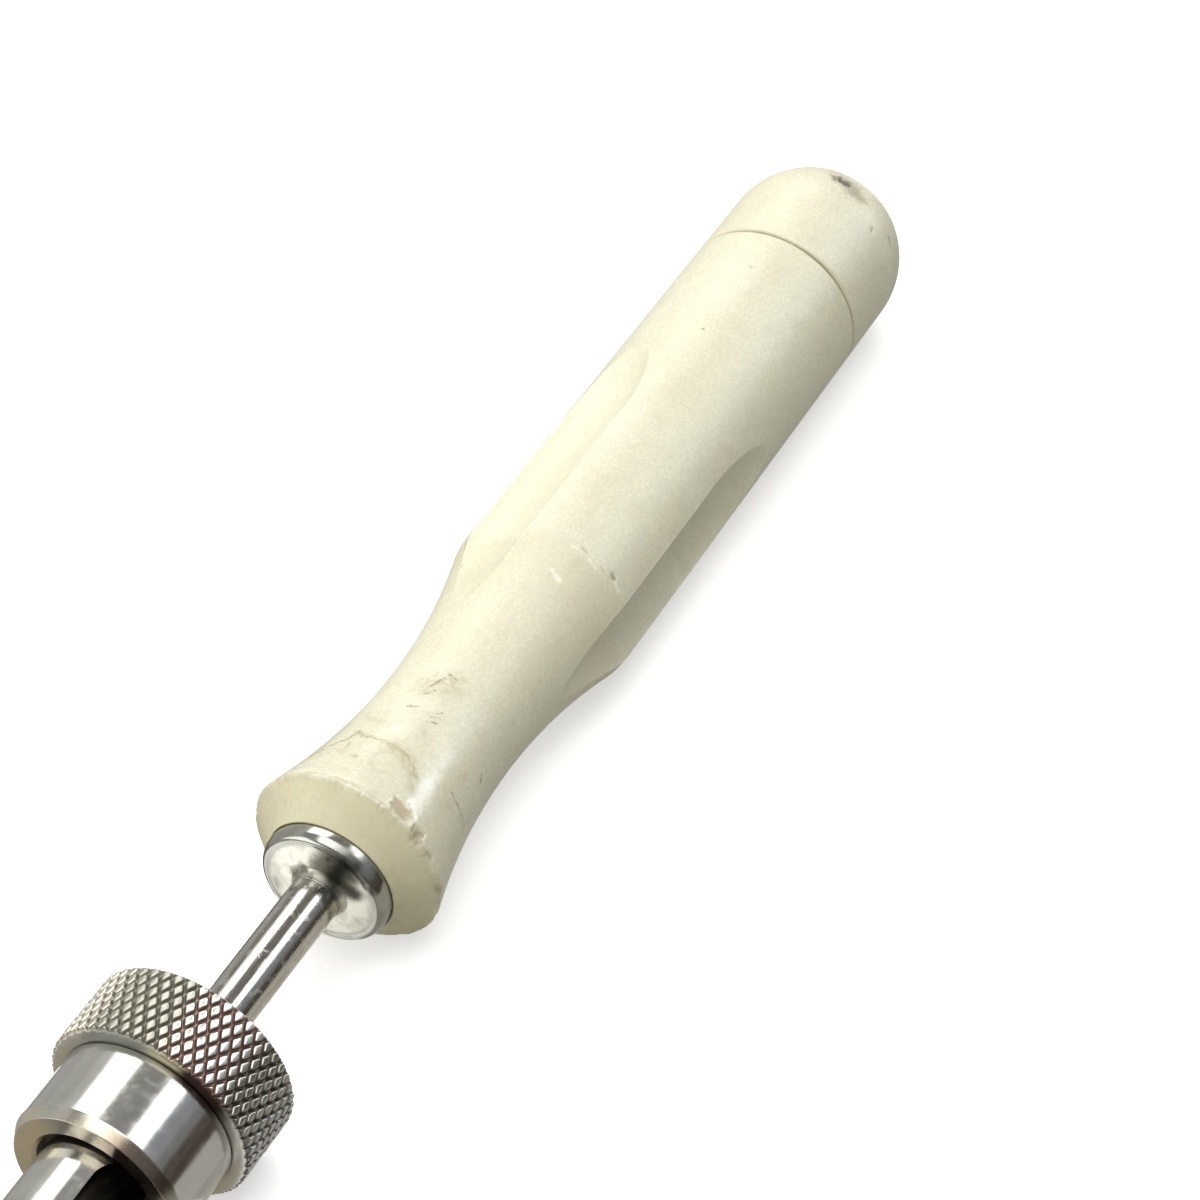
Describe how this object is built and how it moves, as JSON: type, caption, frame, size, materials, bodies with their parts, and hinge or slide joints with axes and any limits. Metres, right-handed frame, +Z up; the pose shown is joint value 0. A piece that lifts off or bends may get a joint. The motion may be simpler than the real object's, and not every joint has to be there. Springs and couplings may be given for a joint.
{
  "type": "surgical screwdriver",
  "caption": "Self-holding surgical screwdriver: fluted ivory grip with a swivel palm cap, steel shaft with a hex end, and a free sliding sleeve turned by a knurled knob.",
  "frame": {"origin": "centre of the flat end face of the hex drive, on the tool's axis", "axes": "+X along the tool's axis from the hex drive to the palm cap, +Z up, the first grip flute towards -Y"},
  "size_m": [0.3524, 0.0286, 0.0286],
  "materials": {
    "ivory_polymer": "satin, worn, yellowed",
    "polished_steel": "turned and polished",
    "shaft_steel": "polished, rubbed along its length",
    "knurled_steel": "diamond knurl",
    "core_aluminium": "turned",
    "pin_steel": "ground",
    "seal_rubber": "matte",
    "slip_polymer": "smooth",
    "bearing_polymer": "machined"
  },
  "bodies": {
    "handle": {"handle_grip": "ivory_polymer", "handle_core": "core_aluminium", "front_ferrule": "polished_steel", "ferrule_seal_ring": "seal_rubber", "drive_shaft": "shaft_steel", "shaft_cross_pins": "pin_steel", "hex_bit": "polished_steel", "bit_pin": "pin_steel", "stop_collar": "polished_steel", "stop_collar_pin": "pin_steel", "cap_spindle": "polished_steel", "spindle_washer": "slip_polymer", "thrust_washer": "slip_polymer"},
    "cap": {"palm_cap": "ivory_polymer", "cap_hub": "bearing_polymer"},
    "carriage": {"guide_bush": "bearing_polymer", "bush_retaining_ring": "pin_steel", "shaft_seal_ring": "seal_rubber"},
    "sleeve": {"knurled_knob": "knurled_steel", "nose_collar": "polished_steel", "outer_tube": "polished_steel", "front_bush": "bearing_polymer", "threaded_tip": "polished_steel"}
  },
  "joints": [
    {"name": "cap_spin", "type": "hinge", "parent": "handle", "child": "cap", "pos_m": [0.3244, 0, 0], "axis": [1, 0, 0], "continuous": true},
    {"name": "sleeve_slide", "type": "slide", "parent": "handle", "child": "carriage", "axis": [1, 0, 0], "range_m": [0, 0.028]},
    {"name": "sleeve_spin", "type": "hinge", "parent": "carriage", "child": "sleeve", "pos_m": [0.15, 0, 0], "axis": [1, 0, 0], "continuous": true}
  ]
}
